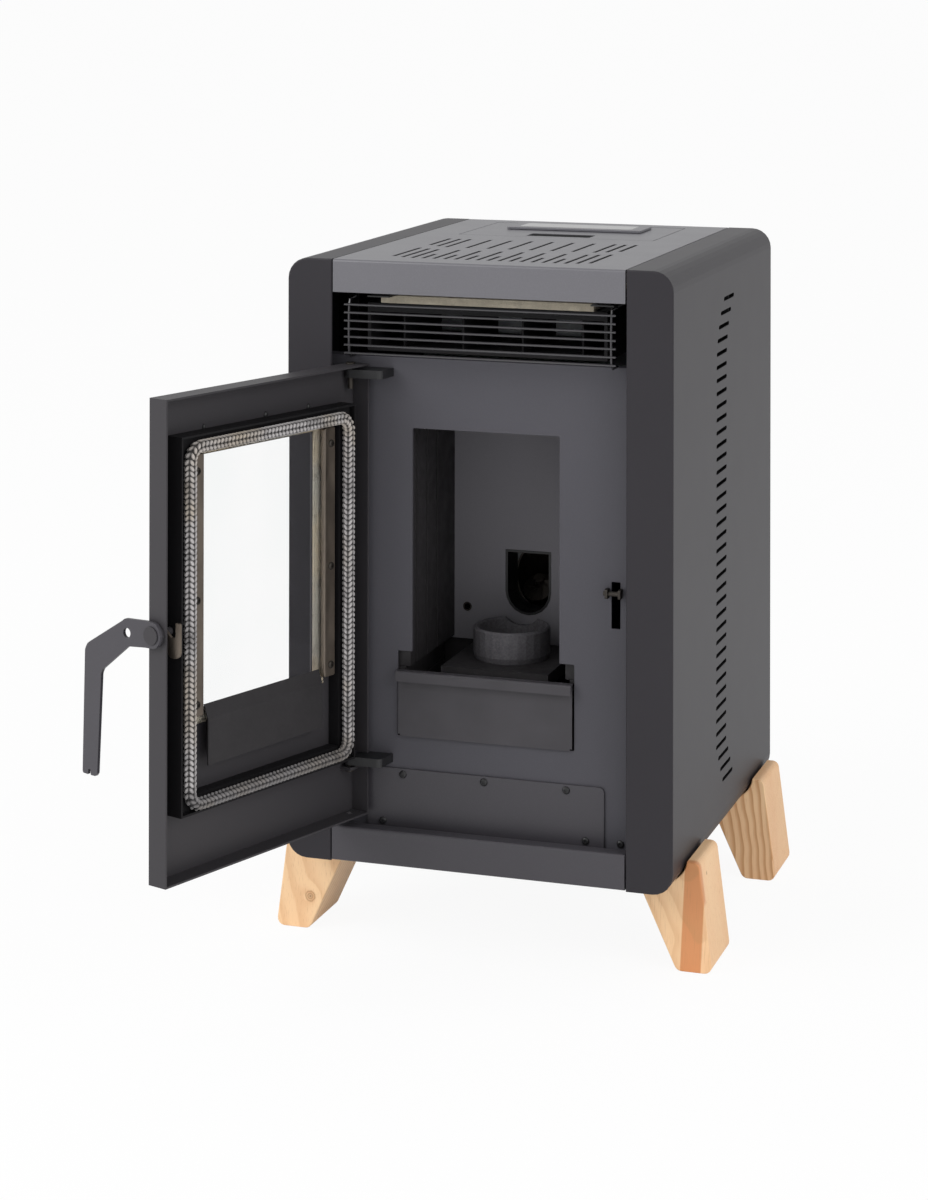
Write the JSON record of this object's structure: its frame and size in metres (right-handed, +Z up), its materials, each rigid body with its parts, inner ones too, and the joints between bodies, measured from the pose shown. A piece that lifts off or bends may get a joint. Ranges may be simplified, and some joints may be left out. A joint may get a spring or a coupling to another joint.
{
  "type": "pellet stove",
  "caption": "Free-standing pellet stove on splayed wooden feet: slotted steel casing, open glazed fire door with drop lever, ash drawer, burn pot, air grille, hopper lid and rear flue.",
  "frame": {"origin": "on the floor, at the middle of the rectangle that the stove with its open door covers", "axes": "+Z up, -Y out of the stove's front, +X to the right of someone facing the front"},
  "size_m": [0.576, 0.787, 0.7353],
  "materials": {
    "side_paint": "satin charcoal stove paint",
    "top_paint": "fine textured grey stove paint",
    "plate_paint": "matt grey stove paint",
    "inner_paint": "matt near-black stove paint",
    "black_steel": "black coated steel",
    "cast_iron": "rough as cast",
    "bright_steel": "plain bright steel",
    "zinc_sheet": "zinc plated sheet",
    "rope": "grey braided glass fibre rope",
    "tape": "woven glass fibre tape",
    "insulation": "pressed fibre board, matt",
    "wood": "clear oiled, straight grain",
    "glass": "clear heat-proof ceramic glass",
    "gloss_black": "gloss black display window",
    "black_plastic": "matt black plastic"
  },
  "bodies": {
    "casing": {"left_side_panel": "side_paint", "right_side_panel": "side_paint", "top_panel": "top_paint", "bottom_fascia": "plate_paint", "base_pan": "zinc_sheet", "back_panel": "side_paint", "foot_front_left": "wood", "foot_front_right": "wood", "foot_back_left": "wood", "foot_back_right": "wood", "chamber_plate": "plate_paint", "firebox_shell": "inner_paint", "firebox_liner": "plate_paint", "side_liner_left": "inner_paint", "side_liner_right": "inner_paint", "pellet_chute": "black_steel", "pot_seat": "inner_paint", "igniter_tube": "bright_steel", "inspection_cover": "inner_paint", "outlet_grille": "black_steel", "outlet_duct": "inner_paint", "top_insulation": "insulation", "grille_bracket_left": "zinc_sheet", "grille_bracket_right": "zinc_sheet", "hinge_bracket_upper": "plate_paint", "hinge_bracket_lower": "plate_paint", "latch_keeper": "bright_steel", "hopper": "zinc_sheet", "auger_motor": "black_steel", "auger_tube": "zinc_sheet", "fume_duct": "zinc_sheet", "exhaust_blower": "zinc_sheet", "room_blower": "zinc_sheet", "intake_pipe": "zinc_sheet", "power_inlet": "black_plastic", "slot_shield_left": "zinc_sheet", "slot_shield_right": "zinc_sheet"},
    "fire_door": {"door_pan": "side_paint", "glass_frame": "inner_paint", "glass_gasket": "tape", "door_glass": "glass", "retainer_left": "inner_paint", "retainer_right": "inner_paint", "rope_gasket": "rope", "air_deflector": "inner_paint", "hinge_pin_upper": "bright_steel", "hinge_pin_lower": "bright_steel"},
    "handle": {"handle_lever": "side_paint", "latch_spindle": "bright_steel", "latch_hook": "bright_steel"},
    "lid": {"hopper_lid": "top_paint", "control_panel": "gloss_black"},
    "ash_drawer": {"ash_tray": "inner_paint"},
    "pot": {"burn_pot": "cast_iron"},
    "auger": {"auger_screw": "bright_steel"},
    "smoke_fan": {"exhaust_impeller": "bright_steel"},
    "room_fan": {"room_fan_wheel": "black_plastic"},
    "rocker": {"rocker_switch": "black_plastic"}
  },
  "joints": [
    {"name": "door_swing", "type": "hinge", "parent": "casing", "child": "fire_door", "pos_m": [-0.0979, -0.10246, 0.392], "axis": [0, 0, -1], "range_deg": [-109.4, 8]},
    {"name": "handle_turn", "type": "hinge", "parent": "fire_door", "child": "handle", "pos_m": [-0.09837, -0.1023, 0.3875], "axis": [-0.3322, -0.9432, 0], "range_deg": [-36, 0]},
    {"name": "lid_lift", "type": "hinge", "parent": "casing", "child": "lid", "pos_m": [0.0464, 0.32254, 0.727], "axis": [-1, 0, 0], "range_deg": [0, 80]},
    {"name": "ash_drawer_slide", "type": "slide", "parent": "casing", "child": "ash_drawer", "axis": [0, -1, 0], "range_m": [0, 0.13]},
    {"name": "pot_lift", "type": "slide", "parent": "casing", "child": "pot", "axis": [0, 0, 1], "range_m": [0, 0.045]},
    {"name": "auger_turn", "type": "hinge", "parent": "casing", "child": "auger", "pos_m": [0.0464, 0.11384, 0.359], "axis": [0, 0.7071, -0.7071], "continuous": true},
    {"name": "smoke_fan_turn", "type": "hinge", "parent": "casing", "child": "smoke_fan", "pos_m": [0.1584, 0.23754, 0.21], "axis": [0, 1, 0], "continuous": true},
    {"name": "room_fan_turn", "type": "hinge", "parent": "casing", "child": "room_fan", "pos_m": [-0.0656, 0.18754, 0.154], "axis": [1, 0, 0], "continuous": true},
    {"name": "rocker_tilt", "type": "hinge", "parent": "casing", "child": "rocker", "pos_m": [-0.1186, 0.34854, 0.164], "axis": [1, 0, 0], "range_deg": [0, 12]}
  ]
}
